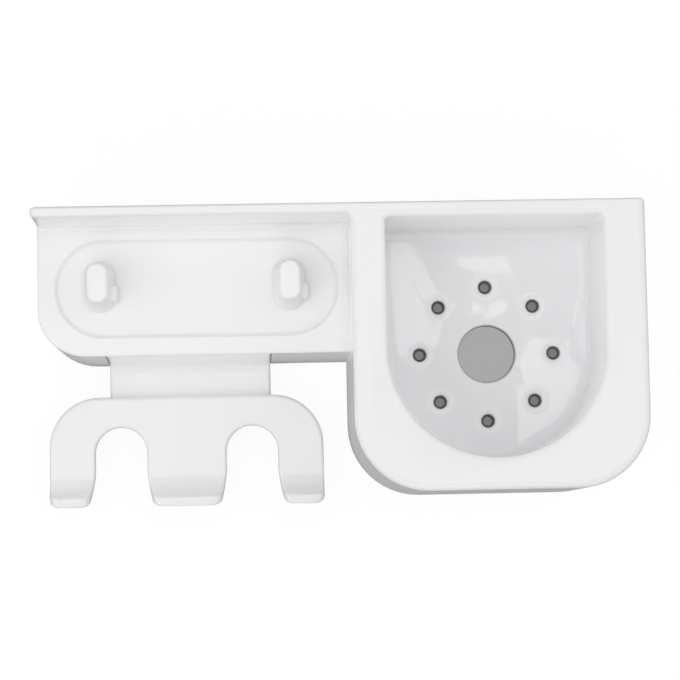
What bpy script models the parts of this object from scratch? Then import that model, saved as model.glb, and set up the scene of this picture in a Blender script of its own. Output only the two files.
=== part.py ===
"""Wall mounted holder for two electric toothbrushes, spare brush heads and a charger or cup.

Moulded in white ABS: an open-bottomed tray with a back wall, a shelf and a D-shaped cup,
a two-slot hanger that clips into the skirt, two brush head posts and two adhesive pads.
Metres, +Z up, the wall is at +Y. The origin is under the middle of the whole object.
"""

import math

import bmesh
import bpy
from mathutils import Vector

# Overall sizes of the tray moulding
body_width = 0.2000
body_height = 0.0560
shelf_height = 0.0300
shelf_depth = 0.0469
cup_block_width = 0.0962
cup_block_depth = 0.0943
cup_block_corner = 0.0240

# Walls of the tray moulding
back_wall_thickness = 0.0037
skin_thickness = 0.0025
top_thickness = 0.0030
back_corner = 0.0014
wall_end_corner = 0.0017
wall_corner = 0.0020
wall_foot_fillet = 0.0015
cavity_corner = 0.0010
rim_rounding = 0.0022
rim_rounding_height = 0.0020
wall_top_rounding = 0.0010

# Ribs under the shelf and beside the cup
rib_thickness = 0.0018
rib_foot = 0.0100

# Shelf
shelf_end_setback = 0.0004
shelf_corner = 0.0155
shelf_nose_rounding = 0.0009
skirt_flare = 0.0012
skirt_foot_corner = 0.0184

# Stadium-shaped recess of the shelf
recess_length = 0.0951
recess_width = 0.0336
recess_depth = 0.0009
recess_edge = 0.0016
recess_end_margin = 0.0030
recess_back_margin = 0.0040

# Cup
cup_width = 0.0714
cup_setback_left = 0.00125
cup_rim_back = 0.0049
cup_rim_front = 0.0105
cup_floor_height = 0.0180
cup_back_corner = 0.0016
cup_wall_draft = 0.0004
cup_floor_fillet = 0.0034
cup_lip_rounding = 0.0017
cup_skin = 0.0024
cup_floor_thickness = 0.0026

# Holes in the floor of the cup
hole_pattern_setback = 0.0006
middle_hole_diameter = 0.0190
middle_hole_rounding = 0.0008
drain_count = 8
drain_circle_radius = 0.0227
drain_top_diameter = 0.0050
drain_foot_diameter = 0.0030
drain_foot_length = 0.0006
drain_dish_diameter = 0.0078
drain_dish_depth = 0.0004

# Brush head posts
post_spacing = 0.0632
post_setback = 0.0168
post_shift_back = 0.0007
post_height = 0.0147
post_foot_width = 0.0106
post_foot_length = 0.0168
post_top_width = 0.0068
post_top_length = 0.0128
post_end_flat = 0.0006
post_edge = 0.0008
post_key_width = 0.0014
post_key_length = 0.0062
post_key_height = 0.0062
post_key_setforward = 0.0026
post_key_corner = 0.0011
post_key_draft = 0.0006
spigot_width = 0.0058
spigot_length = 0.0080
spigot_depth = 0.0075
socket_skin = 0.0018

# Hanger
hanger_reach = 0.0501
hanger_width = 0.0928
hanger_offset = -0.0032
hanger_thickness = 0.0034
hanger_gap_to_shelf = 0.0125
hanger_back_corner = 0.0170
hanger_edge = 0.0011
slot_width = 0.0175
slot_spacing = 0.0444
slot_depth = 0.0273
slot_mouth_flare = 0.0022
slot_mouth_corner = 0.0200
finger_end_corner = 0.0040
lip_inner_radius = 0.0082
lip_sweep = math.radians(74)
neck_width = 0.0546
neck_offset = -0.0017
neck_height = 0.0031
neck_lap = 0.0080
neck_fillet = 0.0034
neck_edge = 0.0010
flange_thickness = 0.0022
flange_proud = 0.0002
flange_top_drop = 0.0018
flange_edge = 0.0003

# Snap hooks of the hanger
hook_spacing = 0.0300
hook_width = 0.0090
hook_thickness = 0.0022
hook_height = 0.0130
hook_head = 0.0014
hook_head_length = 0.0022

# Adhesive pads
pad_width = 0.0700
pad_height = 0.0340
pad_foot = 0.0060
pad_thickness = 0.0011
pad_spacing = 0.1040
pad_corner = 0.0050

# Clearance between separate pieces, and how far a cutting tool reaches past what it cuts
fit_gap = 0.0003
overshoot = 0.0030

# Fineness of curves, in steps to a corner, an edge, a lip or a whole circle
small_steps = 4
fillet_steps = 8
large_steps = 12
arc_steps = 24
edge_steps = 4
fine_edge_steps = 3
bend_steps = 9
middle_hole_steps = 48
drain_steps = 20

# Points nearer to each other than this are one point
weld_distance = 1e-6
least_radius = 0.00005
sharp_angle = math.radians(32)

# Places that follow from the sizes
whole_depth = pad_thickness + fit_gap + shelf_depth + hanger_reach
back_y = whole_depth / 2 - pad_thickness - fit_gap
wall_face_y = back_y - back_wall_thickness
shelf_front_y = back_y - shelf_depth
skirt_front_y = shelf_front_y - skirt_flare
block_front_y = back_y - cup_block_depth
right_x = body_width / 2
left_x = -body_width / 2
block_left_x = right_x - cup_block_width
cup_center_x = block_left_x + cup_block_width / 2 - cup_setback_left
cup_back_y = back_y - cup_rim_back
cup_front_y = block_front_y + cup_rim_front
cup_radius = cup_width / 2
cup_arc_y = cup_front_y + cup_radius
hole_pattern_y = cup_arc_y + hole_pattern_setback
recess_right_x = block_left_x - recess_end_margin
recess_center_x = recess_right_x - recess_length / 2
recess_center_y = wall_face_y - recess_back_margin - recess_width / 2
recess_floor_z = shelf_height - recess_depth
post_xs = (recess_right_x - post_setback - post_spacing, recess_right_x - post_setback)
post_y = recess_center_y + post_shift_back
shelf_center_x = (left_x + block_left_x) / 2
hanger_x = shelf_center_x + hanger_offset
neck_x = shelf_center_x + neck_offset
hanger_back_y = shelf_front_y - hanger_gap_to_shelf
hanger_front_y = shelf_front_y - hanger_reach
neck_top_z = neck_height + hanger_thickness
plate_top_z = neck_top_z + hanger_thickness
flange_top_z = shelf_height - flange_top_drop
flange_top_y = shelf_front_y - skirt_flare * (1 - flange_top_z / shelf_height) - flange_proud
flange_foot_y = shelf_front_y - skirt_flare * (1 - neck_top_z / shelf_height) - flange_proud
flange_back_y = flange_top_y + flange_thickness
pocket_back_y = flange_back_y + fit_gap
seat_back_y = pocket_back_y + skin_thickness
hook_xs = (neck_x - hook_spacing / 2, neck_x + hook_spacing / 2)


def new_object(name, bm):
    """Turns an edited mesh into a named object of the scene."""
    bmesh.ops.recalc_face_normals(bm, faces=bm.faces)
    mesh = bpy.data.meshes.new(name)
    bm.to_mesh(mesh)
    bm.free()
    made = bpy.data.objects.new(name, mesh)
    bpy.context.scene.collection.objects.link(made)
    return made


def combine(target, tool, operation):
    """Joins two solids or cuts one by the other, and removes the second."""
    modifier = target.modifiers.new(operation, "BOOLEAN")
    modifier.operation = operation
    modifier.solver = "EXACT"
    modifier.object = tool
    bpy.context.view_layer.update()
    depsgraph = bpy.context.evaluated_depsgraph_get()
    result = bpy.data.meshes.new_from_object(target.evaluated_get(depsgraph))
    target.modifiers.clear()
    used = [target.data, tool.data]
    target.data = result
    bpy.data.objects.remove(tool)
    for mesh in used:
        bpy.data.meshes.remove(mesh)
    return target


def join(target, tool):
    return combine(target, tool, "UNION")


def cut(target, tool):
    return combine(target, tool, "DIFFERENCE")


def round_outline(corners, insets=0.0):
    """Closed outline of straight edges and round corners, anticlockwise, as (u, v) pairs.

    A corner is (u, v, radius, steps), and one with no steps stays sharp. Edge i runs from
    corner i to the next one and may be moved inwards by its own inset; the radii follow.
    """
    count = len(corners)
    if not hasattr(insets, "__len__"):
        insets = [insets] * count
    directions = []
    for i in range(count):
        start = Vector(corners[i][:2])
        end = Vector(corners[(i + 1) % count][:2])
        directions.append((end - start).normalized())
    points = []
    for i in range(count):
        before = directions[i - 1]
        after = directions[i]
        turn = before.cross(after)
        corner = Vector(corners[i][:2])
        corner += before * (-insets[i] / turn)
        corner += after * (insets[i - 1] / turn)
        steps = corners[i][3]
        if steps == 0:
            points.append(corner)
            continue
        side = 1 if turn > 0 else -1
        radius = corners[i][2] - side * (insets[i - 1] + insets[i]) / 2
        radius = max(radius, least_radius)
        angle = math.acos(max(-1.0, min(1.0, before.dot(after))))
        inward = Vector((-before.y, before.x)) * side
        center = corner - before * radius * math.tan(angle / 2) + inward * radius
        for step in range(steps + 1):
            swing = angle * step / steps
            along = before * math.sin(swing) - inward * math.cos(swing)
            points.append(center + along * radius)
    kept = [points[0]]
    for point in points[1:]:
        if (point - kept[-1]).length > weld_distance:
            kept.append(point)
    if (kept[0] - kept[-1]).length <= weld_distance:
        kept.pop()
    return kept


def loft(name, rings):
    """Solid through closed rings of equally many points, with flat ends."""
    bm = bmesh.new()
    loops = [[bm.verts.new(point) for point in ring] for ring in rings]
    for lower, upper in zip(loops, loops[1:]):
        for i in range(len(lower)):
            j = (i + 1) % len(lower)
            bm.faces.new((lower[i], lower[j], upper[j], upper[i]))
    bm.faces.new(loops[0])
    bm.faces.new(loops[-1])
    return new_object(name, bm)


def level(points, z):
    """Places an outline in plan at one height."""
    return [Vector((point.x, point.y, z)) for point in points]


def across(points, x):
    """Places an outline that is drawn in Y and Z at one X."""
    return [Vector((x, point.x, point.y)) for point in points]


def box(name, low, high):
    """Plain block between two opposite corners, used as a tool or as a rib."""
    corners = [(low[0], low[1]), (high[0], low[1]), (high[0], high[1]), (low[0], high[1])]
    rings = [[Vector((x, y, z)) for x, y in corners] for z in (low[2], high[2])]
    return loft(name, rings)


def turned(name, profile, center, steps):
    """Round solid about a vertical axis from (radius, height) pairs, lowest first."""
    angles = [2 * math.pi * (i + 0.5) / steps for i in range(steps)]
    rings = []
    for radius, z in profile:
        ring = []
        for angle in angles:
            x = center[0] + radius * math.cos(angle)
            y = center[1] + radius * math.sin(angle)
            ring.append(Vector((x, y, z)))
        rings.append(ring)
    return loft(name, rings)


def quarter(steps):
    """Pairs of (sine, cosine) over a quarter turn, for rounded edges."""
    turns = [math.pi / 2 * step / steps for step in range(steps + 1)]
    return [(math.sin(turn), math.cos(turn)) for turn in turns]


def block_and_wall():
    """Back wall and cup block: one outline, full height, with a rounded rim."""
    corners = [
        (left_x, back_y, wall_end_corner, small_steps),
        (left_x, wall_face_y, wall_end_corner, small_steps),
        (block_left_x, wall_face_y, wall_corner, small_steps),
        (block_left_x, block_front_y, cup_block_corner, large_steps),
        (right_x, block_front_y, cup_block_corner, large_steps),
        (right_x, back_y, back_corner, small_steps),
    ]
    wall = wall_top_rounding
    rounding = [wall, wall, rim_rounding, rim_rounding, rim_rounding, wall]
    rings = [level(round_outline(corners), -overshoot)]
    for sine, cosine in quarter(edge_steps):
        insets = [width * (1 - cosine) for width in rounding]
        z = body_height - rim_rounding_height * (1 - sine)
        rings.append(level(round_outline(corners, insets), z))
    return loft("block_and_wall", rings)


def shelf_corners(front_y, corner, margin, inner_y, inner_x):
    """Plan of the shelf, or of the space under it: only its front left corner is free."""
    side_x = left_x + shelf_end_setback + margin
    return [
        (side_x, inner_y, 0, 0),
        (side_x, front_y + margin, corner - margin, large_steps),
        (inner_x, front_y + margin, 0, 0),
        (inner_x, inner_y, 0, 0),
    ]


def shelf_solid():
    """Shelf with its rounded nose and the front skirt, which flares a little downwards."""
    inner_y = back_y - back_wall_thickness / 2
    inner_x = block_left_x + skin_thickness
    foot = shelf_corners(skirt_front_y, skirt_foot_corner, 0, inner_y, inner_x)
    top = shelf_corners(shelf_front_y, shelf_corner, 0, inner_y, inner_x)
    rings = [level(round_outline(foot), -2 * overshoot), level(round_outline(foot), 0)]
    for sine, cosine in quarter(edge_steps):
        inset = shelf_nose_rounding * (1 - cosine)
        z = shelf_height - shelf_nose_rounding * (1 - sine)
        rings.append(level(round_outline(top, [inset, inset, 0, 0]), z))
    return loft("shelf_solid", rings)


def foot_fillets():
    """Concave fillets along the shelf, at the foot of the back wall and of the cup block."""
    shelf_left = left_x + shelf_end_setback + shelf_nose_rounding
    lap = wall_foot_fillet / 3
    corners = [
        (-lap, -lap, 0, 0),
        (wall_foot_fillet, -lap, 0, 0),
        (wall_foot_fillet, 0, 0, 0),
        (0, 0, wall_foot_fillet, fillet_steps),
        (0, wall_foot_fillet, 0, 0),
        (-lap, wall_foot_fillet, 0, 0),
    ]
    profile = round_outline(corners)
    rings = []
    for x in (shelf_left, block_left_x + lap):
        rings.append([Vector((x, wall_face_y - p.x, shelf_height + p.y)) for p in profile])
    along_wall = loft("wall_foot_fillet", rings)
    rings = []
    for y in (shelf_front_y + shelf_nose_rounding, wall_face_y + lap):
        rings.append([Vector((block_left_x - p.x, y, shelf_height + p.y)) for p in profile])
    return along_wall, loft("block_foot_fillet", rings)


def shelf_cavity():
    """Space under the shelf, less the ribs, the post sockets and the hanger seat."""
    foot = shelf_corners(skirt_front_y, skirt_foot_corner, skin_thickness, wall_face_y, block_left_x)
    top = shelf_corners(shelf_front_y, shelf_corner, skin_thickness, wall_face_y, block_left_x)
    ceiling = shelf_height - top_thickness
    rings = [level(round_outline(foot), -3 * overshoot), level(round_outline(foot), 0)]
    rings.append(level(round_outline(top), ceiling))
    cavity = loft("shelf_cavity", rings)
    over = ceiling + overshoot
    front = skirt_front_y - overshoot
    half = rib_thickness / 2
    low = (left_x, post_y - half, rib_foot)
    cavity = cut(cavity, box("long_rib", low, (right_x, post_y + half, over)))
    for x in (post_xs[0], shelf_center_x, post_xs[1]):
        cavity = cut(cavity, box("cross_rib", (x - half, front, rib_foot), (x + half, back_y, over)))
    socket_x = spigot_width / 2 + fit_gap + socket_skin
    socket_y = spigot_length / 2 + fit_gap + socket_skin
    for x in post_xs:
        low = (x - socket_x, post_y - socket_y, recess_floor_z - spigot_depth)
        high = (x + socket_x, post_y + socket_y, over)
        cavity = cut(cavity, box("socket", low, high))
    seat_half = neck_width / 2 + fit_gap + skin_thickness
    low = (neck_x - seat_half, front, -4 * overshoot)
    return cut(cavity, box("hanger_seat", low, (neck_x + seat_half, seat_back_y, over)))


def cup_outline(inset):
    """D shape of the cup in plan, moved inwards by an inset, or outwards by a negative one."""
    left = cup_center_x - cup_radius
    right = cup_center_x + cup_radius
    corners = [
        (left, cup_back_y, cup_back_corner, small_steps),
        (left, cup_front_y, cup_radius, arc_steps),
        (right, cup_front_y, cup_radius, arc_steps),
        (right, cup_back_y, cup_back_corner, small_steps),
    ]
    return round_outline(corners, inset)


def cup_hollow():
    """Inside of the cup: filleted floor, drafted wall and rounded lip."""
    rings = []
    for sine, cosine in quarter(edge_steps):
        inset = cup_wall_draft + cup_floor_fillet * (1 - sine)
        z = cup_floor_height + cup_floor_fillet * (1 - cosine)
        rings.append(level(cup_outline(inset), z))
    for sine, cosine in reversed(quarter(fine_edge_steps)):
        z = body_height - cup_lip_rounding * (1 - cosine)
        rings.append(level(cup_outline(-cup_lip_rounding * (1 - sine)), z))
    rings.append(level(cup_outline(-cup_lip_rounding), body_height + overshoot))
    return loft("cup_hollow", rings)


def block_cavity():
    """Space between the outer wall of the block and the skin of the cup, less three ribs."""
    left = block_left_x + skin_thickness
    right = right_x - skin_thickness
    front = block_front_y + skin_thickness
    front_corner = cup_block_corner - skin_thickness
    corners = [
        (left, wall_face_y, cavity_corner, small_steps),
        (left, front, front_corner, large_steps),
        (right, front, front_corner, large_steps),
        (right, wall_face_y, cavity_corner, small_steps),
    ]
    plan = round_outline(corners)
    ceiling = body_height - top_thickness
    cavity = loft("block_cavity", [level(plan, -3 * overshoot), level(plan, ceiling)])
    over = ceiling + overshoot
    under_floor = cup_floor_height - cup_floor_thickness
    bevel = cup_floor_fillet / 2
    rings = [
        level(cup_outline(cup_wall_draft + bevel - cup_skin), under_floor),
        level(cup_outline(cup_wall_draft - cup_skin), under_floor + bevel),
        level(cup_outline(-cup_skin), over),
    ]
    cavity = cut(cavity, loft("cup_skin", rings))
    half = rib_thickness / 2
    skin_left = cup_center_x - cup_radius + cup_wall_draft
    skin_right = cup_center_x + cup_radius - cup_wall_draft
    skin_front = cup_front_y + cup_wall_draft
    low = (block_left_x, cup_arc_y - half, rib_foot)
    cavity = cut(cavity, box("left_rib", low, (skin_left, cup_arc_y + half, over)))
    low = (skin_right, cup_arc_y - half, rib_foot)
    cavity = cut(cavity, box("right_rib", low, (right_x, cup_arc_y + half, over)))
    low = (cup_center_x - half, block_front_y, rib_foot)
    return cut(cavity, box("front_rib", low, (cup_center_x + half, skin_front, over)))


def recess_hollow():
    """Shallow stadium-shaped recess with a soft edge."""
    half = recess_width / 2
    left = recess_center_x - recess_length / 2
    right = recess_center_x + recess_length / 2
    corners = [
        (left, recess_center_y + half, half, large_steps),
        (left, recess_center_y - half, half, large_steps),
        (right, recess_center_y - half, half, large_steps),
        (right, recess_center_y + half, half, large_steps),
    ]
    rings = []
    for step in range(edge_steps + 1):
        share = step / edge_steps
        blend = (1 - math.cos(math.pi * share)) / 2
        z = recess_floor_z + recess_depth * blend
        rings.append(level(round_outline(corners, recess_edge * (1 - share)), z))
    rings.append(level(round_outline(corners), shelf_height + overshoot))
    return loft("recess_hollow", rings)


def middle_hole():
    """Large hole in the floor of the cup, with a rounded upper edge."""
    radius = middle_hole_diameter / 2
    profile = [(radius, cup_floor_height - cup_floor_thickness - overshoot)]
    for sine, cosine in quarter(fine_edge_steps):
        z = cup_floor_height - middle_hole_rounding * (1 - sine)
        profile.append((radius + middle_hole_rounding * (1 - cosine), z))
    profile.append((radius + middle_hole_rounding, cup_floor_height + overshoot))
    return turned("middle_hole", profile, (cup_center_x, hole_pattern_y), middle_hole_steps)


def drain_hole(angle):
    """Small tapered drain hole with a rounded dish round its mouth."""
    x = cup_center_x + drain_circle_radius * math.cos(angle)
    y = hole_pattern_y + drain_circle_radius * math.sin(angle)
    top = drain_top_diameter / 2
    foot = drain_foot_diameter / 2
    dish = drain_dish_diameter / 2
    under_floor = cup_floor_height - cup_floor_thickness
    profile = [(foot, under_floor - overshoot), (foot, under_floor + drain_foot_length)]
    for sine, cosine in quarter(fine_edge_steps):
        z = cup_floor_height - drain_dish_depth * (1 - sine)
        profile.append((dish - (dish - top) * cosine, z))
    profile.append((dish, cup_floor_height + overshoot))
    return turned("drain_hole", profile, (x, y), drain_steps)


def hanger_pocket():
    """Pocket in the skirt for the flange of the hanger."""
    half = neck_width / 2 + fit_gap
    low = (neck_x - half, skirt_front_y - overshoot, neck_height - fit_gap)
    return box("hanger_pocket", low, (neck_x + half, pocket_back_y, flange_top_z + fit_gap))


def hook_window(x):
    """Window behind the pocket that one snap hook of the hanger reaches through."""
    half = hook_width / 2 + fit_gap
    low = (x - half, flange_back_y, hook_height - hook_head - fit_gap)
    high = (x + half, seat_back_y + overshoot, hook_height + hook_thickness + fit_gap)
    return box("hook_window", low, high)


def post_socket_hole(x):
    """Hole through the shelf into its socket, for the spigot of one post."""
    reach_x = spigot_width / 2 + fit_gap
    reach_y = spigot_length / 2 + fit_gap
    low = (x - reach_x, post_y - reach_y, recess_floor_z - spigot_depth - overshoot)
    return box("post_socket_hole", low, (x + reach_x, post_y + reach_y, shelf_height))


def tray_body():
    """The tray moulding, from the outside in."""
    tray = join(block_and_wall(), shelf_solid())
    for fillet in foot_fillets():
        tray = join(tray, fillet)
    low = (left_x - overshoot, block_front_y - overshoot, -4 * overshoot)
    tray = cut(tray, box("ground", low, (right_x + overshoot, back_y + overshoot, 0)))
    tray = cut(tray, shelf_cavity())
    tray = cut(tray, block_cavity())
    tray = cut(tray, cup_hollow())
    tray = cut(tray, recess_hollow())
    tray = cut(tray, middle_hole())
    for i in range(drain_count):
        tray = cut(tray, drain_hole(2 * math.pi * i / drain_count))
    tray = cut(tray, hanger_pocket())
    for x in hook_xs:
        tray = cut(tray, hook_window(x))
    for x in post_xs:
        tray = cut(tray, post_socket_hole(x))
    tray.name = "tray_body"
    return tray


def fork_corners(bend_y):
    """Plan of the hanger plate, laid flat before its finger ends are bent up."""
    left = hanger_x - hanger_width / 2
    right = hanger_x + hanger_width / 2
    tip_y = bend_y - (lip_inner_radius + hanger_thickness / 2) * lip_sweep
    slot_back_y = hanger_front_y + slot_depth
    corners = [
        (left, hanger_back_y, hanger_back_corner, large_steps),
        (left, tip_y, finger_end_corner, small_steps),
    ]
    for x in (hanger_x - slot_spacing / 2, hanger_x + slot_spacing / 2):
        near = x - slot_width / 2
        far = x + slot_width / 2
        corners += [
            (near - slot_mouth_flare, tip_y, finger_end_corner, small_steps),
            (near, bend_y, slot_mouth_corner, small_steps),
            (near, slot_back_y, slot_width / 2, large_steps),
            (far, slot_back_y, slot_width / 2, large_steps),
            (far, bend_y, slot_mouth_corner, small_steps),
            (far + slot_mouth_flare, tip_y, finger_end_corner, small_steps),
        ]
    corners += [
        (right, tip_y, finger_end_corner, small_steps),
        (right, hanger_back_y, hanger_back_corner, large_steps),
    ]
    return corners


def bend_fingers(plate, bend_y):
    """Splits the flat plate along the bend and rolls its finger ends up into the lip."""
    bm = bmesh.new()
    bm.from_mesh(plate.data)
    middle_radius = lip_inner_radius + hanger_thickness / 2
    for step in range(bend_steps):
        line = (0, bend_y - middle_radius * lip_sweep * step / bend_steps, 0)
        geometry = bm.verts[:] + bm.edges[:] + bm.faces[:]
        bmesh.ops.bisect_plane(bm, geom=geometry, plane_co=line, plane_no=(0, 1, 0), dist=weld_distance)
    axis_z = plate_top_z + lip_inner_radius
    for vert in bm.verts:
        angle = (bend_y - vert.co.y) / middle_radius
        if angle > 0:
            radius = axis_z - vert.co.z
            vert.co.y = bend_y - radius * math.sin(angle)
            vert.co.z = axis_z - radius * math.cos(angle)
    bm.to_mesh(plate.data)
    bm.free()


def fork_plate():
    """Hanger plate with rounded edges, two slots and three upturned fingers."""
    bend_y = hanger_front_y + (lip_inner_radius + hanger_thickness) * math.sin(lip_sweep)
    corners = fork_corners(bend_y)
    rings = []
    for sine, cosine in quarter(fine_edge_steps):
        outline = round_outline(corners, hanger_edge * (1 - sine))
        rings.append(level(outline, neck_top_z + hanger_edge * (1 - cosine)))
    for sine, cosine in reversed(quarter(fine_edge_steps)):
        outline = round_outline(corners, hanger_edge * (1 - sine))
        rings.append(level(outline, plate_top_z - hanger_edge * (1 - cosine)))
    plate = loft("fork_plate", rings)
    bend_fingers(plate, bend_y)
    return plate


def neck_and_flange():
    """Upright flange, concave fillet and neck of the hanger, drawn in Y and Z."""
    lap_y = hanger_back_y - neck_lap
    step_y = hanger_back_y - 2 * hanger_edge
    lap_z = neck_top_z + hanger_thickness / 2
    corners = [
        (flange_back_y, flange_top_z, 0, 0),
        (flange_top_y, flange_top_z, flange_edge, small_steps),
        (flange_foot_y, neck_top_z, neck_fillet, fillet_steps),
        (step_y, neck_top_z, 0, 0),
        (step_y, lap_z, 0, 0),
        (lap_y, lap_z, 0, 0),
        (lap_y, neck_height, neck_edge, small_steps),
        (flange_back_y, neck_height, 0, 0),
    ]
    rounding = [0, flange_edge, neck_edge, 0, 0, 0, 0, 0]
    left = neck_x - neck_width / 2
    right = neck_x + neck_width / 2
    rings = []
    for sine, cosine in quarter(fine_edge_steps):
        insets = [width * (1 - sine) for width in rounding]
        rings.append(across(round_outline(corners, insets), left + neck_edge * (1 - cosine)))
    for sine, cosine in reversed(quarter(fine_edge_steps)):
        insets = [width * (1 - sine) for width in rounding]
        rings.append(across(round_outline(corners, insets), right - neck_edge * (1 - cosine)))
    return loft("neck_and_flange", rings)


def snap_hook(x):
    """Flexible tab with a head that springs up behind the seat wall."""
    half = hook_width / 2
    head_y = seat_back_y + fit_gap
    tip_y = head_y + hook_head_length
    tab_top = hook_height + hook_thickness
    low = (x - half, flange_back_y - flange_thickness / 2, hook_height)
    tab = box("snap_hook", low, (x + half, tip_y, tab_top))
    low = (x - half + fit_gap, head_y, hook_height + hook_thickness / 2)
    head = box("hook_head", low, (x + half - fit_gap, tip_y - fit_gap, tab_top + hook_head))
    return join(tab, head)


def toothbrush_hanger():
    """Fork plate on its neck, with the flange and the two snap hooks behind it."""
    hanger = join(fork_plate(), neck_and_flange())
    for x in hook_xs:
        hanger = join(hanger, snap_hook(x))
    hanger.name = "toothbrush_hanger"
    return hanger


def post_outline(x, width, length):
    """Oval of two round ends about one post, longer along Y."""
    corner = (width - post_end_flat) / 2
    left = x - width / 2
    right = x + width / 2
    back = post_y + length / 2
    front = post_y - length / 2
    corners = [(left, back), (left, front), (right, front), (right, back)]
    return round_outline([(u, v, corner, fillet_steps) for u, v in corners])


def post_key(x, foot_z):
    """Low key on the right side of a post, with round corners, drafted like the post."""
    right = x + post_foot_width / 2 + post_key_width
    back = post_y - post_key_setforward + post_key_length / 2
    front = back - post_key_length
    corners = [
        (x, back, 0, 0),
        (x, front, 0, 0),
        (right, front, post_key_corner, small_steps),
        (right, back, post_key_corner, small_steps),
    ]
    rings = [level(round_outline(corners), foot_z)]
    for sine, cosine in quarter(fine_edge_steps):
        inset = post_key_draft + post_edge * (1 - cosine)
        outline = round_outline(corners, [0, inset, inset, inset])
        rings.append(level(outline, foot_z + post_key_height - post_edge * (1 - sine)))
    return loft("post_key", rings)


def brush_head_post(name, x):
    """Drafted oval post with a key on its right side and a square spigot underneath."""
    foot_z = recess_floor_z + fit_gap
    rings = [level(post_outline(x, post_foot_width, post_foot_length), foot_z)]
    for sine, cosine in quarter(fine_edge_steps):
        shrink = 2 * post_edge * (1 - cosine)
        outline = post_outline(x, post_top_width - shrink, post_top_length - shrink)
        rings.append(level(outline, foot_z + post_height - post_edge * (1 - sine)))
    post = loft(name, rings)
    post = join(post, post_key(x, foot_z))
    low = (x - spigot_width / 2, post_y - spigot_length / 2, recess_floor_z - spigot_depth)
    high = (x + spigot_width / 2, post_y + spigot_length / 2, foot_z + post_edge)
    post = join(post, box("spigot", low, high))
    post.name = name
    return post


def adhesive_pad(name, x):
    """Foam pad with round corners on the back of the tray."""
    left = x - pad_width / 2
    right = x + pad_width / 2
    top = pad_foot + pad_height
    corners = [(left, top), (left, pad_foot), (right, pad_foot), (right, top)]
    plan = round_outline([(u, v, pad_corner, fillet_steps) for u, v in corners])
    near = back_y + fit_gap
    rings = [[Vector((point.x, y, point.y)) for point in plan] for y in (near, near + pad_thickness)]
    return loft(name, rings)


def finish(made, material_name, colour, roughness):
    """Welds stray points, gives a piece its material and shades it smooth."""
    bm = bmesh.new()
    bm.from_mesh(made.data)
    bmesh.ops.remove_doubles(bm, verts=bm.verts, dist=weld_distance)
    bmesh.ops.dissolve_degenerate(bm, edges=bm.edges, dist=weld_distance)
    bm.to_mesh(made.data)
    bm.free()
    material = bpy.data.materials.new(material_name)
    material.use_nodes = True
    shader = material.node_tree.nodes["Principled BSDF"]
    shader.inputs["Base Color"].default_value = (*colour, 1)
    shader.inputs["Roughness"].default_value = roughness
    shader.inputs["Metallic"].default_value = 0.0
    made.data.materials.clear()
    made.data.materials.append(material)
    made.data.shade_smooth()
    made.data.set_sharp_from_angle(angle=sharp_angle)


for old in list(bpy.data.objects):
    bpy.data.objects.remove(old)

white = (0.86, 0.86, 0.87)
foam = (0.62, 0.63, 0.65)
gloss = 0.20
matt = 0.85

finish(tray_body(), "white_tray", white, gloss)
finish(toothbrush_hanger(), "white_hanger", white, gloss)
for side, place_x in zip(("left", "right"), post_xs):
    finish(brush_head_post("brush_head_post_" + side, place_x), "white_post_" + side, white, gloss)
for side, place_x in zip(("left", "right"), (-pad_spacing / 2, pad_spacing / 2)):
    finish(adhesive_pad("adhesive_pad_" + side, place_x), "foam_pad_" + side, foam, matt)
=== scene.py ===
"""Wall mounted holder for electric toothbrushes in glossy white plastic, dressed and lit."""

import math

import bmesh
import bpy
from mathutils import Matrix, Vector


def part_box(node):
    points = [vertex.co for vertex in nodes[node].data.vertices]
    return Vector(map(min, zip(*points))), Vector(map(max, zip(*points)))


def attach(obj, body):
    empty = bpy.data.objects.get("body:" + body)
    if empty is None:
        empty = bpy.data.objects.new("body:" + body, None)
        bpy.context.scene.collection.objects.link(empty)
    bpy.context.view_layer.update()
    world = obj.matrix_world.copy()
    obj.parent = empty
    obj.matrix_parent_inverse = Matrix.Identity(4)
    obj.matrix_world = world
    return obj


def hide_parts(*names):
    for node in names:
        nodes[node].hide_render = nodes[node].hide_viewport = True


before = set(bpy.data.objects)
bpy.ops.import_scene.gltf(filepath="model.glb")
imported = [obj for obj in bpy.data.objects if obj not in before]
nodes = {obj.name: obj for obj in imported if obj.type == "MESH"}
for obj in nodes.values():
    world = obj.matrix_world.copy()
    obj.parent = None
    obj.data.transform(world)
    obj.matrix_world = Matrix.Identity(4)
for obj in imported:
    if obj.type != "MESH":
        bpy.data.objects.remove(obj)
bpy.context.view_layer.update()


# The tray is one moulding in white ABS: back wall, shelf with its recess, and D-shaped cup.
# It comes from a polished steel tool, so its outer faces are glossy, with a faint waviness on
# their flat parts. The faces that shrank onto the core are satin, with marks of ejector pins.
weld_distance = 2e-6
smooth_angle = math.radians(34)
flat_face_weight = 100

tray_white = (0.945, 0.945, 0.943, 1)
tray_tint = (0.934, 0.934, 0.938, 1)
# Painted shade: the rim's top, between these heights, is drawn darker and warmer than the rest of
# the tray.
rim_painted_shade = (0.895, 0.895, 0.891, 1)
rim_low, rim_high = 0.0538, 0.0552
tray_roughness = 0.13
tray_core_roughness = 0.46
tray_wave_length = 0.030
tray_wave_height = 0.000022

# Patches and grains are counted per metre. A lean is the Z of a face's normal, and its
# squareness is the largest part of the normal, which is 1 where a face is flat and square on.
core_lean, outer_lean = -0.45, -0.25
tint_patches = 26.0
tint_start, tint_full = 0.35, 0.65
skin_haze = 0.04
haze_patches = 70.0
haze_middle = 0.5
hairline_turn = (0.3, 0.2, 0.6)
hairline_stretch = (60.0, 2400.0, 900.0)
hairline_start, hairline_full = 0.66, 0.74
hairline_dulling = 0.05
round_squareness, flat_squareness = 0.93, 0.985
round_wave_share = 0.15
peel_patches = 520.0
peel_height = 0.0000006
core_grains = 2600.0
core_grain_height = 0.00002

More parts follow.
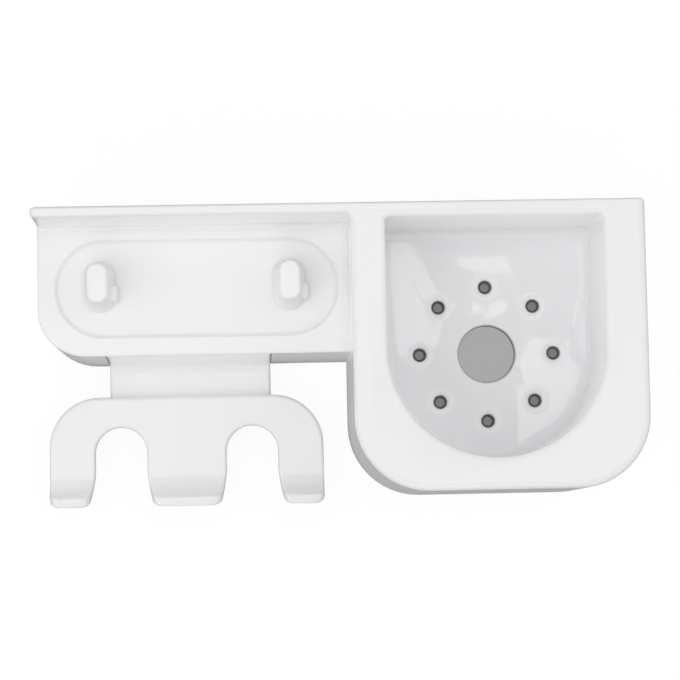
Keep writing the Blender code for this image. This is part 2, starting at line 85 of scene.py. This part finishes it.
cup_middle = (0.0507, 0.0003, 0.0)
# Painted shade: the cup's floor is drawn a cooler, bluer white, as the tint of the shade it lies
# in.
cup_floor_painted_shade_tint = (0.943, 0.946, 0.962, 1)
cup_wall_lean, cup_floor_lean = 0.08, 0.20
cup_polish_top = 0.0215
cup_polish_fade = 0.001
cup_polish_roughness = 0.02
cup_wave_length = 0.017
cup_wave_height = 0.000030

# Painted shade: the bores below the cup's floor are drawn nearly black, for the shade inside them.
bore_shade = (0.17, 0.17, 0.175, 1)
bore_top = 0.0173
bore_fade = 0.0002
bores_inside, bores_outside = 0.028, 0.029
# Painted shade: a grey ring is drawn on the middle hole's rounded edge.
hole_radius = 0.0095
hole_edge = 0.0009
hole_edge_shade = (0.50, 0.50, 0.51, 1)
drain_count = 8
drain_circle = 0.0227
drain_lip_inner, drain_lip_top, drain_lip_outer = 0.0034, 0.0041, 0.0048
drain_lip_height = 0.00004

# The recess edge is eased between the outer two of these depths below the shelf's top, and
# fully between the inner two.
shelf_top = 0.0300
recess_edge_depths = (0.0014, 0.0012, 0.0003, 0.0001)
recess_steep_lean, recess_gentle_lean = 0.60, 0.80
recess_ease = 0.85

pin_spacing = 0.0235
pin_radius = 0.0021
pin_edge = 0.00012
pin_depth = 0.00006
pin_gloss = 0.12


def place(tree, kind, feeds=None, **settings):
    """Adds a node to a tree. feeds gives its inputs as values or as sockets to link."""
    node = tree.nodes.new(kind)
    for name, value in settings.items():
        setattr(node, name, value)
    for name, value in (feeds or {}).items():
        if isinstance(value, bpy.types.NodeSocket):
            tree.links.new(value, node.inputs[name])
        else:
            node.inputs[name].default_value = value
    return node


def number_of(tree, operation, *terms):
    """Works out one number from others and returns its socket."""
    return place(tree, "ShaderNodeMath", dict(enumerate(terms)), operation=operation).outputs[0]


def total(tree, first, *others):
    """Adds numbers up, in their order."""
    for other in others:
        first = number_of(tree, "ADD", first, other)
    return first


def product(tree, first, *others):
    """Multiplies numbers, in their order."""
    for other in others:
        first = number_of(tree, "MULTIPLY", first, other)
    return first


def vector_of(tree, operation, *terms, result="Vector"):
    """Works out a vector, or its Value, from others and returns the socket."""
    feeds = dict(enumerate(terms))
    return place(tree, "ShaderNodeVectorMath", feeds, operation=operation).outputs[result]


def parts_of(tree, vector):
    """Gives the X, Y and Z of a vector."""
    return place(tree, "ShaderNodeSeparateXYZ", {"Vector": vector}).outputs[:]


def ramp(tree, value, low, high, to_low=0.0, to_high=1.0):
    """Takes a value from one range to another, smoothly and within its ends."""
    feeds = {"Value": value, "From Min": low, "From Max": high, "To Min": to_low, "To Max": to_high}
    return place(tree, "ShaderNodeMapRange", feeds, interpolation_type="SMOOTHSTEP").outputs[0]


def fade(tree, value, low, high):
    """Falls smoothly from 1 to 0 between low and high."""
    return ramp(tree, value, low, high, 1.0, 0.0)


def mottle(tree, vector, patches, detail):
    """Soft random pattern from 0 to 1."""
    feeds = {"Vector": vector, "Scale": patches, "Detail": detail}
    return place(tree, "ShaderNodeTexNoise", feeds).outputs["Fac"]


def between(tree, share, first, second, kind="FLOAT"):
    """Mixes two values or two colours by a share and returns the socket."""
    node = place(tree, "ShaderNodeMix", data_type=kind)
    end = {"FLOAT": "Float", "RGBA": "Color"}[kind]
    sockets = {socket.identifier: socket for socket in node.inputs}
    for name, value in (("Factor_Float", share), ("A_" + end, first), ("B_" + end, second)):
        if isinstance(value, bpy.types.NodeSocket):
            tree.links.new(value, sockets[name])
        else:
            sockets[name].default_value = value
    return next(socket for socket in node.outputs if socket.identifier == "Result_" + end)


def new_group(name, inputs, outputs):
    """Starts a shader node group with named sockets; returns its tree, its inputs and its end."""
    tree = bpy.data.node_groups.new(name, "ShaderNodeTree")
    for way, sockets in (("INPUT", inputs), ("OUTPUT", outputs)):
        for socket_name, kind in sockets:
            tree.interface.new_socket(name=socket_name, in_out=way, socket_type=kind)
    start = tree.nodes.new("NodeGroupInput")
    end = tree.nodes.new("NodeGroupOutput")
    return tree, start.outputs, end


def make_moulded_skin():
    """Skin of a moulding: tint that drifts, haze and hairlines in its gloss, waves and peel."""
    number, colour = "NodeSocketFloat", "NodeSocketColor"
    tree, given, end = new_group(
        "moulded_skin",
        [("Colour", colour), ("Tint", colour), ("Roughness", number), ("Haze", number),
         ("Core Roughness", number), ("Wave Length", number), ("Wave Height", number),
         ("Peel Height", number)],
        [("Colour", colour), ("Roughness", number), ("Height", number), ("Core", number)],
    )
    spot = place(tree, "ShaderNodeTexCoord").outputs["Object"]
    facing = place(tree, "ShaderNodeNewGeometry").outputs["True Normal"]
    lean = parts_of(tree, facing)[2]
    core = fade(tree, lean, core_lean, outer_lean)

    drift = mottle(tree, spot, tint_patches, detail=2.0)
    drifted = ramp(tree, drift, tint_start, tint_full)
    tinted = between(tree, drifted, given["Colour"], given["Tint"], "RGBA")

    haze = mottle(tree, spot, haze_patches, detail=4.0)
    hazed = product(tree, number_of(tree, "SUBTRACT", haze, haze_middle), given["Haze"])
    feeds = {"Vector": spot, "Rotation": hairline_turn, "Scale": hairline_stretch}
    stretched = place(tree, "ShaderNodeMapping", feeds).outputs[0]
    hair = mottle(tree, stretched, patches=1.0, detail=1.0)
    hairlines = ramp(tree, hair, hairline_start, hairline_full, 0.0, hairline_dulling)
    polished = total(tree, given["Roughness"], hazed, hairlines)
    roughness = between(tree, core, polished, given["Core Roughness"])

    pace = number_of(tree, "DIVIDE", 1.0, given["Wave Length"])
    swell = product(tree, mottle(tree, spot, pace, detail=0.0), given["Wave Height"])
    side_x, side_y, side_z = parts_of(tree, vector_of(tree, "ABSOLUTE", facing))
    square = number_of(tree, "MAXIMUM", number_of(tree, "MAXIMUM", side_x, side_y), side_z)
    share = ramp(tree, square, round_squareness, flat_squareness, round_wave_share, 1.0)
    swell = product(tree, swell, share)
    peeled = product(tree, mottle(tree, spot, peel_patches, detail=1.0), given["Peel Height"])
    grained = product(tree, mottle(tree, spot, core_grains, detail=2.0), core_grain_height, core)
    height = total(tree, swell, peeled, grained)

    tree.links.new(tinted, end.inputs["Colour"])
    tree.links.new(roughness, end.inputs["Roughness"])
    tree.links.new(height, end.inputs["Height"])
    tree.links.new(core, end.inputs["Core"])
    return tree


def make_ejector_marks():
    """Round witness marks that the ejector pins leave on the core side, in even rows."""
    number = "NodeSocketFloat"
    tree, given, end = new_group(
        "ejector_marks",
        [("Core", number), ("Spacing", number), ("Radius", number), ("Depth", number)],
        [("Height", number), ("Mark", number)],
    )
    spot = place(tree, "ShaderNodeTexCoord").outputs["Object"]
    pace = number_of(tree, "DIVIDE", 1.0, given["Spacing"])
    feeds = {"Vector": spot, "Scale": pace, "Randomness": 0.0}
    rows = place(tree, "ShaderNodeTexVoronoi", feeds, voronoi_dimensions="2D")
    away = product(tree, rows.outputs["Distance"], given["Spacing"])
    edge = number_of(tree, "SUBTRACT", away, given["Radius"])
    mark = product(tree, fade(tree, edge, -pin_edge, pin_edge), given["Core"])
    sunk = product(tree, mark, number_of(tree, "MULTIPLY", given["Depth"], -1.0))
    tree.links.new(sunk, end.inputs["Height"])
    tree.links.new(mark, end.inputs["Mark"])
    return tree


def make_eased_edges():
    """Normal of a moulded face, leaned towards level by a share, as on a soft worn edge."""
    number, vector = "NodeSocketFloat", "NodeSocketVector"
    tree, given, end = new_group("eased_edges", [("Normal", vector), ("Ease", number)],
                                 [("Normal", vector)])
    steep = number_of(tree, "SUBTRACT", 1.0, given["Ease"])
    feeds = {0: given["Normal"], "Scale": steep}
    kept = place(tree, "ShaderNodeVectorMath", feeds, operation="SCALE").outputs[0]
    level = place(tree, "ShaderNodeCombineXYZ", {"Z": given["Ease"]}).outputs[0]
    eased = vector_of(tree, "NORMALIZE", vector_of(tree, "ADD", kept, level))
    tree.links.new(eased, end.inputs["Normal"])
    return tree


moulded_skin = make_moulded_skin()
ejector_marks = make_ejector_marks()
eased_edges = make_eased_edges()


def new_material(name):
    """Starts a material and returns it with its tree and its shader."""
    material = bpy.data.materials.new(name)
    material.use_nodes = True
    shader = material.node_tree.nodes["Principled BSDF"]
    return material, material.node_tree, shader


def set_relief(tree, shader, height, ease=0.0):
    """Feeds a height in metres to the shader as relief, with faces eased by a share to level."""
    facing = place(tree, "ShaderNodeNewGeometry").outputs["Normal"]
    eased = place(tree, "ShaderNodeGroup", {"Normal": facing, "Ease": ease}, node_tree=eased_edges)
    bump = place(tree, "ShaderNodeBump", {"Strength": 1.0, "Distance": 1.0, "Height": height,
                                          "Normal": eased.outputs["Normal"]})
    tree.links.new(bump.outputs["Normal"], shader.inputs["Normal"])


def away_from_drain(tree, from_middle):
    """Distance from the axis of the nearest drain, out of the level vector from the middle hole."""
    across, along = parts_of(tree, from_middle)[:2]
    step = math.tau / drain_count
    turn = number_of(tree, "DIVIDE", number_of(tree, "ARCTAN2", along, across), step)
    nearest = product(tree, number_of(tree, "ROUND", turn), step)
    drain_x = product(tree, number_of(tree, "COSINE", nearest), drain_circle)
    drain_y = product(tree, number_of(tree, "SINE", nearest), drain_circle)
    drain = place(tree, "ShaderNodeCombineXYZ", {"X": drain_x, "Y": drain_y}).outputs[0]
    return vector_of(tree, "DISTANCE", from_middle, drain, result="Value")


def make_tray_plastic():
    """White plastic of the tray: brighter polish in its cup; rim, cup floor, bores and hole edge in
    painted shade.
    """
    material, tree, shader = new_material("white_plastic_tray")
    skin = place(tree, "ShaderNodeGroup", {
        "Colour": tray_white,
        "Tint": tray_tint,
        "Roughness": tray_roughness,
        "Haze": skin_haze,
        "Core Roughness": tray_core_roughness,
        "Wave Length": tray_wave_length,
        "Wave Height": tray_wave_height,
        "Peel Height": peel_height,
    }, node_tree=moulded_skin).outputs
    pins = place(tree, "ShaderNodeGroup", {
        "Core": skin["Core"],
        "Spacing": pin_spacing,
        "Radius": pin_radius,
        "Depth": pin_depth,
    }, node_tree=ejector_marks).outputs

    spot = place(tree, "ShaderNodeTexCoord").outputs["Object"]
    level = parts_of(tree, spot)[2]
    facing = place(tree, "ShaderNodeNewGeometry").outputs["True Normal"]
    lean = parts_of(tree, facing)[2]
    upward = ramp(tree, lean, cup_wall_lean, cup_floor_lean)
    low = fade(tree, level, cup_polish_top - cup_polish_fade, cup_polish_top)
    cup_floor = product(tree, low, upward)
    roughness = between(tree, cup_floor, skin["Roughness"], cup_polish_roughness)
    roughness = number_of(tree, "SUBTRACT", roughness, product(tree, pins["Mark"], pin_gloss))
    tree.links.new(roughness, shader.inputs["Roughness"])

    flat = vector_of(tree, "MULTIPLY", spot, (1, 1, 0))
    from_middle = vector_of(tree, "SUBTRACT", flat, cup_middle)
    in_cup = vector_of(tree, "LENGTH", from_middle, result="Value")
    off_drain = away_from_drain(tree, from_middle)

    # Painted shade in the bores below the cup's floor.
    bare = number_of(tree, "SUBTRACT", 1.0, skin["Core"])
    bore = product(tree, fade(tree, level, bore_top - bore_fade, bore_top + bore_fade), bare)
    bore = product(tree, bore, fade(tree, in_cup, bores_inside, bores_outside))
    # Painted shade on the middle hole's rounded edge.
    edge = product(tree, fade(tree, in_cup, hole_radius, hole_radius + hole_edge), cup_floor)
    # Painted shade on the rim's top.
    on_rim = ramp(tree, level, rim_low, rim_high)
    colour = between(tree, on_rim, skin["Colour"], rim_painted_shade, "RGBA")
    # Painted cool shade tint on the cup's floor.
    colour = between(tree, cup_floor, colour, cup_floor_painted_shade_tint, "RGBA")
    colour = between(tree, edge, colour, hole_edge_shade, "RGBA")
    colour = between(tree, bore, colour, bore_shade, "RGBA")
    tree.links.new(colour, shader.inputs["Base Color"])

    pool = mottle(tree, spot, 1 / cup_wave_length, detail=0.0)
    swell = product(tree, pool, cup_wave_height, cup_floor)
    lip_inside = ramp(tree, off_drain, drain_lip_inner, drain_lip_top)
    lip_outside = fade(tree, off_drain, drain_lip_top, drain_lip_outer)
    lip = product(tree, lip_inside, lip_outside, drain_lip_height, cup_floor)
    relief = total(tree, total(tree, skin["Height"], pins["Height"]), total(tree, swell, lip))

    foot, foot_full, head_full, head = (shelf_top - depth for depth in recess_edge_depths)
    on_edge = product(tree, ramp(tree, level, foot, foot_full), fade(tree, level, head_full, head))
    on_face = ramp(tree, lean, recess_steep_lean, recess_gentle_lean)
    set_relief(tree, shader, relief, product(tree, on_edge, on_face, recess_ease))
    return material


def make_shading_tool():
    """Geometry nodes that weld the facets of a moulding and shade its round edges smooth."""
    tree = bpy.data.node_groups.new("smooth_moulding", "GeometryNodeTree")
    for way in ("INPUT", "OUTPUT"):
        tree.interface.new_socket(name="Geometry", in_out=way, socket_type="NodeSocketGeometry")
    form = place(tree, "NodeGroupInput").outputs[0]
    feeds = {"Geometry": form, "Name": "custom_normal"}
    form = place(tree, "GeometryNodeRemoveAttribute", feeds).outputs[0]
    feeds = {"Geometry": form, "Distance": weld_distance}
    form = place(tree, "GeometryNodeMergeByDistance", feeds).outputs[0]
    feeds = {"Geometry": form, "Shade Smooth": True}
    form = place(tree, "GeometryNodeSetShadeSmooth", feeds, domain="FACE").outputs[0]
    angle = place(tree, "GeometryNodeInputMeshEdgeAngle").outputs["Unsigned Angle"]
    feeds = {0: angle, 1: smooth_angle}
    shallow = place(tree, "FunctionNodeCompare", feeds, operation="LESS_THAN").outputs["Result"]
    feeds = {"Geometry": form, "Shade Smooth": shallow}
    form = place(tree, "GeometryNodeSetShadeSmooth", feeds, domain="EDGE").outputs[0]
    place(tree, "NodeGroupOutput", {"Geometry": form})
    return tree


shading_tool = make_shading_tool()


def dress(node_name, material):
    """Gives a piece of the frame smooth shading on its round edges, and its material."""
    piece = nodes[node_name]
    tool = piece.modifiers.new("smooth_moulding", "NODES")
    tool.node_group = shading_tool
    weighted = piece.modifiers.new("flat_faces_flat", "WEIGHTED_NORMAL")
    weighted.keep_sharp = True
    weighted.weight = flat_face_weight
    piece.data.materials.clear()
    piece.data.materials.append(material)


dress("tray_body", make_tray_plastic())


# Two upright posts carry spare brush heads. Each is a small white moulding of its own, an
# oblong taper with a rounded top and a key on its right side. A spigot holds it in the shelf.
post_white = (0.940, 0.938, 0.934, 1)
post_tint = (0.930, 0.930, 0.928, 1)
post_roughness = 0.16
post_wave_length = 0.008
post_wave_height = 0.000006
post_ease = 0.35
small_core_roughness = 0.45
ease_fade = 0.001


def make_plain_plastic(name, finish, ease, eased_from=None):
    """White plastic of the smaller mouldings. eased_from is the Y and Z where the easing starts."""
    material, tree, shader = new_material(name)
    feeds = {"Haze": skin_haze, "Core Roughness": small_core_roughness, "Peel Height": peel_height}
    skin = place(tree, "ShaderNodeGroup", feeds | finish, node_tree=moulded_skin).outputs
    tree.links.new(skin["Colour"], shader.inputs["Base Color"])
    tree.links.new(skin["Roughness"], shader.inputs["Roughness"])
    share = product(tree, number_of(tree, "SUBTRACT", 1.0, skin["Core"]), ease)
    if eased_from:
        back, foot = eased_from
        spot = place(tree, "ShaderNodeTexCoord").outputs["Object"]
        along, level = parts_of(tree, spot)[1:]
        share = product(tree, share, fade(tree, along, back - ease_fade, back))
        share = product(tree, share, ramp(tree, level, foot, foot + ease_fade))
    set_relief(tree, shader, skin["Height"], share)
    return material


post_finish = {
    "Colour": post_white,
    "Tint": post_tint,
    "Roughness": post_roughness,
    "Wave Length": post_wave_length,
    "Wave Height": post_wave_height,
}
post_plastic = make_plain_plastic("white_plastic_post", post_finish, post_ease)
dress("brush_head_post_left", post_plastic)
dress("brush_head_post_right", post_plastic)


# The hanger is a separate white moulding with three upturned fingers, between which two
# toothbrushes hang by their collars. Its flange sits in a pocket of the shelf's skirt, where
# two snap hooks hold it.
hanger_white = (0.926, 0.926, 0.922, 1)
hanger_tint = (0.916, 0.917, 0.920, 1)
hanger_roughness = 0.12
hanger_wave_length = 0.024
hanger_wave_height = 0.000016
lip_ease = 0.5
lip_back, lip_foot = -0.0440, 0.0142

hanger_finish = {
    "Colour": hanger_white,
    "Tint": hanger_tint,
    "Roughness": hanger_roughness,
    "Wave Length": hanger_wave_length,
    "Wave Height": hanger_wave_height,
}
hanger_plastic = make_plain_plastic("white_plastic_hanger", hanger_finish, lip_ease,
                                    eased_from=(lip_back, lip_foot))
dress("toothbrush_hanger", hanger_plastic)


# Two pads of closed-cell foam hold the holder on the wall. They are die-cut from a roll, so
# their sides show cut cells and draw in between the thin clear adhesive films of both faces,
# whose edges the cutter has rolled over. The outer face is flat where it meets the wall.
pad_corner = 0.0050
pad_corner_steps = 10

# Each ring of a pad is drawn in by the first length and lies the second one from the tray.
pad_rings = (
    (0.00045, 0.0), (0.00012, 0.00003), (0.0, 0.00012), (0.00012, 0.00022), (0.00026, 0.00040),
    (0.00032, 0.00056), (0.00026, 0.00072), (0.00012, 0.00088), (0.0, 0.00098),
    (0.00016, 0.00106), (0.00060, 0.00109), (0.0022, 0.00110),
)
foam_light = (0.66, 0.67, 0.69, 1)
foam_dark = (0.50, 0.51, 0.54, 1)
foam_roughness = 0.9
foam_cell = 0.0006
foam_cell_depth = 0.00007
open_cell_middle, open_cell_edge = 0.15, 0.6

# The film comes in between these two values of the Y of a face's normal, either way.
film_side, film_face = 0.6, 0.8
film_cover = 0.8
film_colour = (0.66, 0.66, 0.65, 1)
film_deep = (0.61, 0.61, 0.605, 1)
film_patches = 210.0
film_patch_start, film_patch_full = 0.38, 0.62
film_blotches = 160.0
film_blotch_start, film_blotch_full = 0.35, 0.65
film_glossy, film_dull = 0.22, 0.46
film_wrinkle_stretch = (90.0, 1.0, 260.0)
film_wrinkle_height = 0.000012
blister_spacing = 0.0042
blister_middle, blister_edge = 0.12, 0.30
blister_height = 0.00009


def make_pad_foam():
    """Foam with cut cells on its sides and a film on the faces that look along Y."""
    material, tree, shader = new_material("pad_foam")
    spot = place(tree, "ShaderNodeTexCoord").outputs["Object"]
    facing = place(tree, "ShaderNodeNewGeometry").outputs["True Normal"]
    to_wall = number_of(tree, "ABSOLUTE", parts_of(tree, facing)[1])
    film = ramp(tree, to_wall, film_side, film_face)

    cells = place(tree, "ShaderNodeTexVoronoi", {"Vector": spot, "Scale": 1 / foam_cell})
    open_cell = fade(tree, cells.outputs["Distance"], open_cell_middle, open_cell_edge)
    bare = number_of(tree, "SUBTRACT", 1.0, product(tree, film, film_cover))
    cut = product(tree, open_cell, bare)
    foam = between(tree, cut, foam_light, foam_dark, "RGBA")
    drift = mottle(tree, spot, film_patches, detail=3.0)
    deep = ramp(tree, drift, film_patch_start, film_patch_full)
    film_tone = between(tree, deep, film_colour, film_deep, "RGBA")
    tree.links.new(between(tree, film, foam, film_tone, "RGBA"), shader.inputs["Base Color"])

    blotch = mottle(tree, spot, film_blotches, detail=3.0)
    gloss = ramp(tree, blotch, film_blotch_start, film_blotch_full, film_glossy, film_dull)
    tree.links.new(between(tree, film, foam_roughness, gloss), shader.inputs["Roughness"])

    feeds = {"Vector": spot, "Scale": film_wrinkle_stretch}
    stretched = place(tree, "ShaderNodeMapping", feeds).outputs[0]
    wrinkle = mottle(tree, stretched, patches=1.0, detail=2.0)
    wrinkled = product(tree, wrinkle, film_wrinkle_height, film)
    blister = place(tree, "ShaderNodeTexVoronoi", {"Vector": spot, "Scale": 1 / blister_spacing})
    swollen = fade(tree, blister.outputs["Distance"], blister_middle, blister_edge)
    blistered = product(tree, swollen, film, blister_height)
    pitted = product(tree, cut, -foam_cell_depth)
    set_relief(tree, shader, total(tree, pitted, total(tree, wrinkled, blistered)))
    return material


def pad_outline(low, high, inset):
    """Points of the pad's oblong with round corners, drawn in by inset, in X and Z."""
    points = []
    middle = (low + high) / 2
    radius = pad_corner - inset
    corners = ((high.x, high.z), (low.x, high.z), (low.x, low.z), (high.x, low.z))
    for index, (x, z) in enumerate(corners):
        centre_x = x - math.copysign(pad_corner, x - middle.x)
        centre_z = z - math.copysign(pad_corner, z - middle.z)
        for step in range(pad_corner_steps + 1):
            turn = (index + step / pad_corner_steps) * math.pi / 2
            points.append((centre_x + radius * math.cos(turn), centre_z + radius * math.sin(turn)))
    return points


def make_foam_pad(name, node_name, material):
    """Foam pad in the space of its node, from rings that run from the tray's side to the wall."""
    low, high = (Vector(corner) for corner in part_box(node_name))
    form = bmesh.new()
    rings = []
    for inset, away in pad_rings:
        outline = pad_outline(low, high, inset)
        rings.append([form.verts.new((x, low.y + away, z)) for x, z in outline])
    for near, far in zip(rings, rings[1:]):
        for index in range(len(near)):
            after = (index + 1) % len(near)
            form.faces.new((near[index], near[after], far[after], far[index]))
    form.faces.new(rings[0])
    form.faces.new(rings[-1])
    bmesh.ops.recalc_face_normals(form, faces=form.faces[:])
    mesh = bpy.data.meshes.new(name)
    form.to_mesh(mesh)
    form.free()
    mesh.shade_smooth()
    mesh.materials.append(material)
    pad = bpy.data.objects.new(name, mesh)
    bpy.context.scene.collection.objects.link(pad)
    weighted = pad.modifiers.new("flat_faces_flat", "WEIGHTED_NORMAL")
    weighted.weight = flat_face_weight
    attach(pad, "root")
    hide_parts(node_name)


pad_foam = make_pad_foam()
for side in ("left", "right"):
    make_foam_pad("foam_pad_" + side, "adhesive_pad_" + side, pad_foam)


# The floor is a plain white sheet that keeps the object's soft shadow. The camera sees it as
# white, and the plastic mirrors it dimly. Below the cup its glow is turned down to a painted
# shade, with a painted lighter spot under the middle hole. From below, the sheet is plain.
floor_half = 2.0
floor_drop = 0.0002
floor_bounce = 0.12
floor_seen_bounce = 0.10
floor_glow = 0.92
floor_mirror_glow = 0.25
# Painted shade and light: the floor's glow under the cup, and the brighter glow under its middle
# hole.
painted_shade_glow = 0.19
shade_inner, shade_outer = 0.038, 0.044
hole_painted_light_glow = 0.38
hole_inner, hole_outer = 0.0115, 0.0150


def mirrored_rays(tree, path):
    """1 for what the plastic mirrors or lets through, else 0."""
    return number_of(tree, "MAXIMUM", path["Is Glossy Ray"], path["Is Transmission Ray"])


def make_floor():
    """Sheet of paper below the object, with its own glow for what looks straight at it."""
    mesh = bpy.data.meshes.new("floor")
    sides = [(-1, -1), (1, -1), (1, 1), (-1, 1)]
    corners = [(x * floor_half, y * floor_half, -floor_drop) for x, y in sides]
    mesh.from_pydata(corners, [], [(0, 1, 2, 3)])
    floor = bpy.data.objects.new("floor", mesh)
    bpy.context.scene.collection.objects.link(floor)
    material, tree, shader = new_material("floor_paper")
    tree.nodes.remove(shader)
    path = place(tree, "ShaderNodeLightPath").outputs
    seen = path["Is Camera Ray"]
    spot = place(tree, "ShaderNodeNewGeometry").outputs["Position"]
    away = vector_of(tree, "DISTANCE", spot, cup_middle, result="Value")
    # Painted shade: the glow under the cup is cut down, and less so in a painted lighter spot under
    # the middle hole.
    under_cup_painted_shade = ramp(tree, away, hole_inner, hole_outer, hole_painted_light_glow / floor_glow,
                     painted_shade_glow / floor_glow)
    out_of_shade = ramp(tree, away, shade_inner, shade_outer)
    from_below = place(tree, "ShaderNodeNewGeometry").outputs["Backfacing"]
    plain = number_of(tree, "MAXIMUM", out_of_shade, from_below)
    mirror_glow = product(tree, mirrored_rays(tree, path), floor_mirror_glow)
    glow = total(tree, product(tree, seen, floor_glow), mirror_glow)
    strength = product(tree, glow, between(tree, plain, under_cup_painted_shade, 1.0))
    bounce = between(tree, seen, floor_bounce, floor_seen_bounce)
    paper = place(tree, "ShaderNodeBsdfDiffuse", {"Color": bounce})
    light = place(tree, "ShaderNodeEmission", {"Strength": strength})
    both = place(tree, "ShaderNodeAddShader", {0: paper.outputs[0], 1: light.outputs[0]})
    tree.links.new(both.outputs[0], tree.nodes["Material Output"].inputs["Surface"])
    mesh.materials.append(material)


make_floor()


# The studio round the object is a pale dome, whose light is strongest near the horizon. The
# plastic mirrors it evenly, and what looks straight at it sees white.
dome_overhead = 0.35
dome_horizon = 1.09
dome_low, dome_high = 0.1, 1.0
dome_mirror = 1.0
dome_seen = 1.0
dome_tone = (1.0, 0.994, 0.994, 1)


def make_world():
    """Dome of soft light around the object."""
    world = bpy.data.worlds.new("studio")
    world.use_nodes = True
    tree = world.node_tree
    back = tree.nodes["Background"]
    back.inputs["Color"].default_value = dome_tone
    path = place(tree, "ShaderNodeLightPath").outputs
    way = place(tree, "ShaderNodeTexCoord").outputs["Generated"]
    light = ramp(tree, parts_of(tree, way)[2], dome_low, dome_high, dome_horizon, dome_overhead)
    light = between(tree, mirrored_rays(tree, path), light, dome_mirror)
    strength = between(tree, path["Is Camera Ray"], light, dome_seen)
    tree.links.new(strength, back.inputs["Strength"])
    bpy.context.scene.world = world


make_world()


# Level soft boxes hang over the object. Four make a frame, which the upper faces mirror, and
# four panes in its window show as patches of light on the cup's polished floor. Four large
# lamps stand round the object, the strongest on the left, and shine at it from the side.
box_height = 1.45
frame_glow = 1.28
frame_left, frame_right, frame_front, frame_back = -0.27, 0.38, -0.09, 0.45
window_left, window_right, window_front, window_back = 0.100, 0.296, 0.016, 0.224
pane_glow = 2.15

# Each pane has its left, right, front and back edge, and each lamp its middle and its watts.
panes = {
    "pane_left": (0.108, 0.150, 0.112, 0.216),
    "pane_front": (0.218, 0.284, 0.032, 0.118),
    "pane_back": (0.182, 0.213, 0.181, 0.199),
    "pane_middle": (0.186, 0.211, 0.138, 0.162),
}
lamps = {
    "lamp_left": ((-1.00, -0.30, 1.15), 3.8),
    "lamp_front": ((-0.25, -1.05, 1.15), 2.3),
    "lamp_right": ((1.00, 0.20, 1.15), 1.9),
    "lamp_back": ((0.25, 1.05, 1.15), 0.7),
}
lamp_side = 1.0
lamp_aim = (0, 0, 0.03)
lamp_tone = (1, 0.996, 0.990)


def soft_box(name, middle, width, depth, power, tone=(1, 1, 1), aim=None):
    """Rectangular soft box that shines straight down, or at a point."""
    data = bpy.data.lights.new(name, "AREA")
    data.shape = "RECTANGLE"
    data.size = width
    data.size_y = depth
    data.energy = power
    data.color = tone
    lamp = bpy.data.objects.new(name, data)
    bpy.context.scene.collection.objects.link(lamp)
    lamp.location = middle
    if aim:
        lamp.rotation_mode = "QUATERNION"
        lamp.rotation_quaternion = (Vector(aim) - Vector(middle)).to_track_quat("-Z", "Y")


def level_box(name, left, right, front, back, glow):
    """Soft box at the frame's height, as bright as its glow, between its four edges."""
    width, depth = right - left, back - front
    middle = ((left + right) / 2, (front + back) / 2, box_height)
    soft_box(name, middle, width, depth, glow * width * depth * math.pi)


level_box("frame_left", frame_left, window_left, window_front, window_back, frame_glow)
level_box("frame_right", window_right, frame_right, window_front, window_back, frame_glow)
level_box("frame_front", frame_left, frame_right, frame_front, window_front, frame_glow)
level_box("frame_back", frame_left, frame_right, window_back, frame_back, frame_glow)
for name, edges in panes.items():
    level_box(name, *edges, pane_glow)
for name, (middle, power) in lamps.items():
    soft_box(name, middle, lamp_side, lamp_side, power, lamp_tone, aim=lamp_aim)


# The camera looks down on the holder through a long lens, from high above its front left. It
# stands a fixed distance from the point that it aims at.
lens_mm = 133.1
sensor_mm = 36.0
camera_turn = (math.radians(4.8007), math.radians(-2.2467), math.radians(-1.1991))
camera_aim = Vector((-0.00047, 0.00274, 0.0560))
camera_distance = 0.81175

camera_data = bpy.data.cameras.new("camera")
camera_data.lens = lens_mm
camera_data.sensor_width = sensor_mm
camera = bpy.data.objects.new("camera", camera_data)
bpy.context.scene.collection.objects.link(camera)
camera.rotation_euler = camera_turn
bpy.context.view_layer.update()
backwards = camera.matrix_world.to_quaternion() @ Vector((0, 0, camera_distance))
camera.location = camera_aim + backwards
bpy.context.scene.camera = camera
bpy.context.scene.view_settings.view_transform = "Standard"
